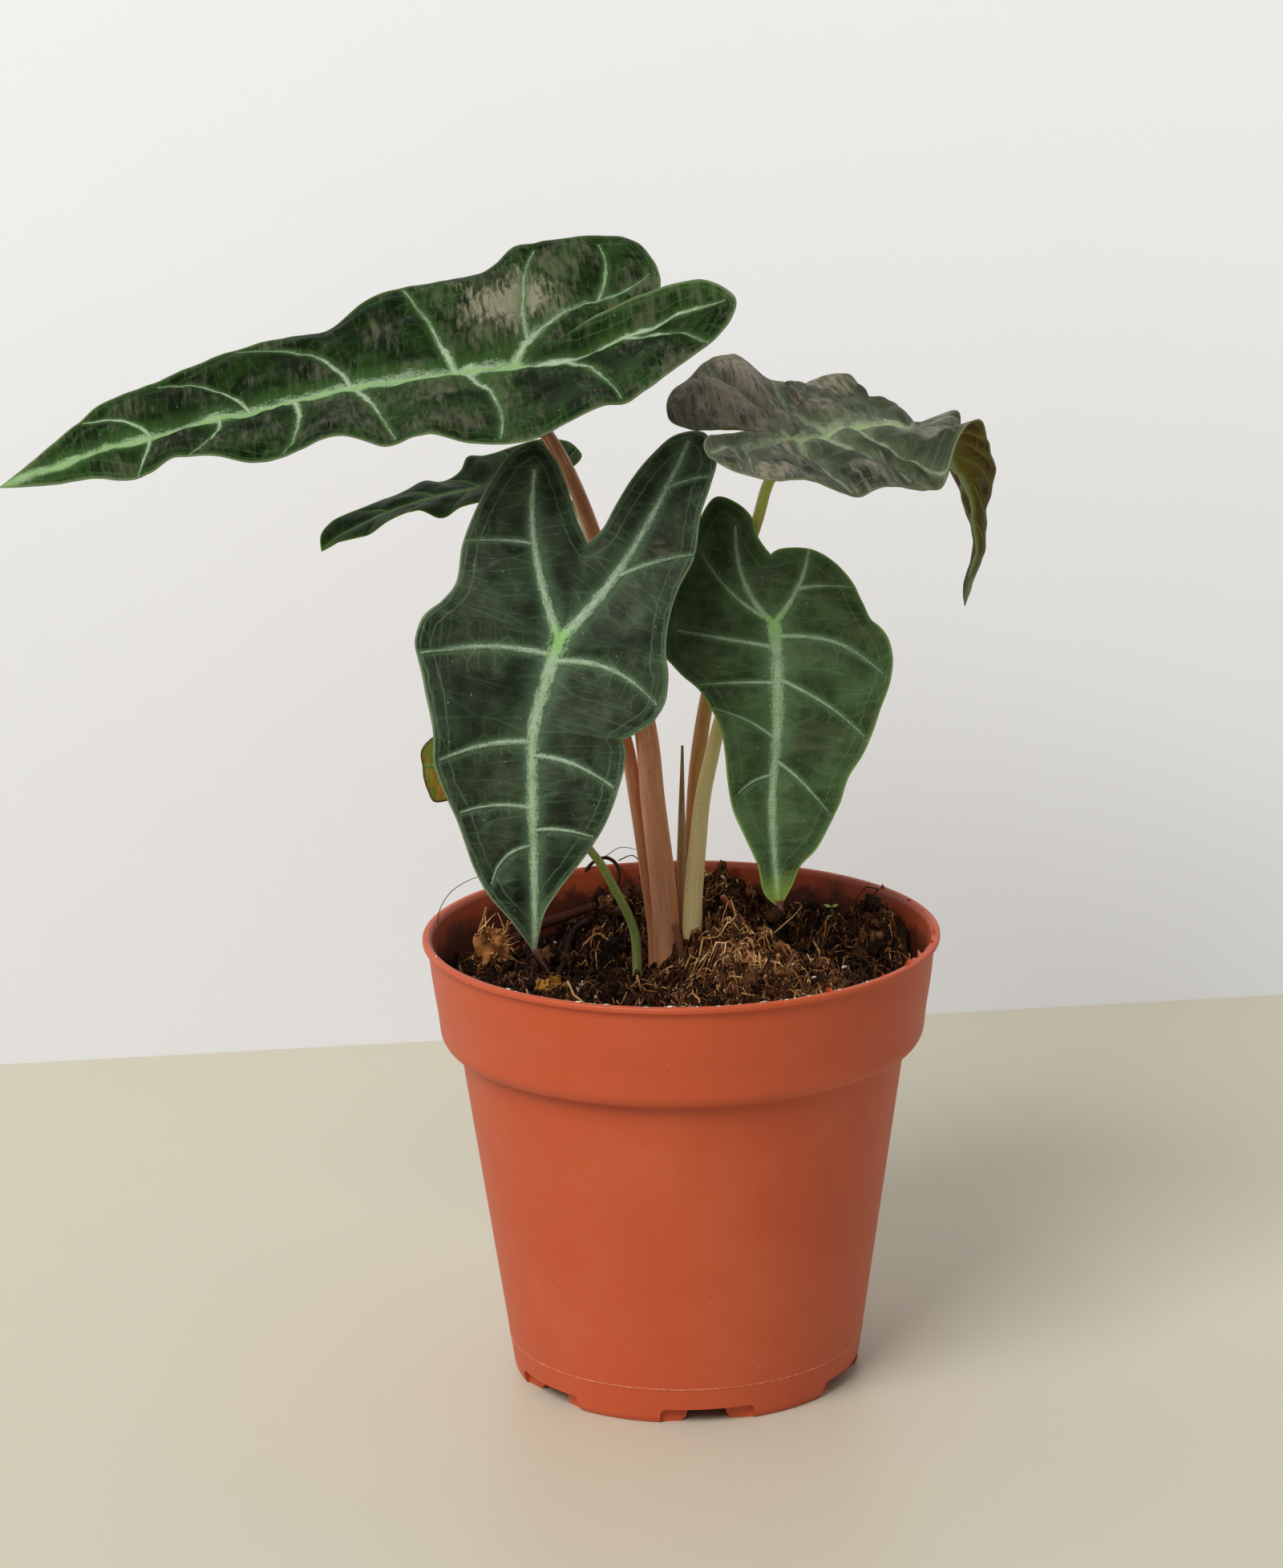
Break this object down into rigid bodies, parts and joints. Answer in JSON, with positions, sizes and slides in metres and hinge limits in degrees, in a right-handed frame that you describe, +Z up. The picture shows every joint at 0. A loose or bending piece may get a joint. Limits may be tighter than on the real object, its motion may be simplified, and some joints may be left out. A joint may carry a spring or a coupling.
{
  "type": "potted african mask plant",
  "caption": "African mask plant with arrow-shaped dark green leaves and pale veins on slender stalks, growing in a terracotta-coloured plastic nursery pot.",
  "frame": {"origin": "middle of the whole plant's plan, on the ground under the pot's foot", "axes": "+Z up, -Y towards the viewer, +X to the viewer's right"},
  "size_m": [0.2258, 0.12, 0.2622],
  "materials": {
    "pot_plastic": "matt terracotta-coloured plastic with a faint dust bloom",
    "peat": "damp fibrous peat compost",
    "bark": "rough orange-brown bark",
    "dry_leaf": "dry, brittle yellow-brown leaf",
    "corm_skin": "brown papery corm skin",
    "leaf_dark": "dark green satin leaf with pale silvery veins",
    "leaf_bright": "mid green satin leaf with pale veins",
    "leaf_grey": "grey-green satin leaf, reddish underneath",
    "leaf_old": "yellowing leaf",
    "stalk_red": "reddish brown satin leaf stalk",
    "stalk_khaki": "khaki satin leaf stalk",
    "stalk_green": "pale green satin leaf stalk"
  },
  "bodies": {
    "root": {"pot": "pot_plastic", "soil": "peat", "corm": "corm_skin", "bark_chip": "bark", "dry_leaf_scrap": "dry_leaf", "young_sheath": "stalk_khaki", "stalk_large_left": "stalk_red", "stalk_front": "stalk_red", "stalk_bright_right": "stalk_khaki", "stalk_curled_right": "stalk_red", "stalk_narrow_behind": "stalk_green", "stalk_small_old": "stalk_green", "blade_large_left": "leaf_dark", "blade_front": "leaf_dark", "blade_bright_right": "leaf_bright", "blade_curled_right": "leaf_grey", "blade_narrow_behind": "leaf_dark", "blade_small_old": "leaf_old"}
  },
  "joints": []
}
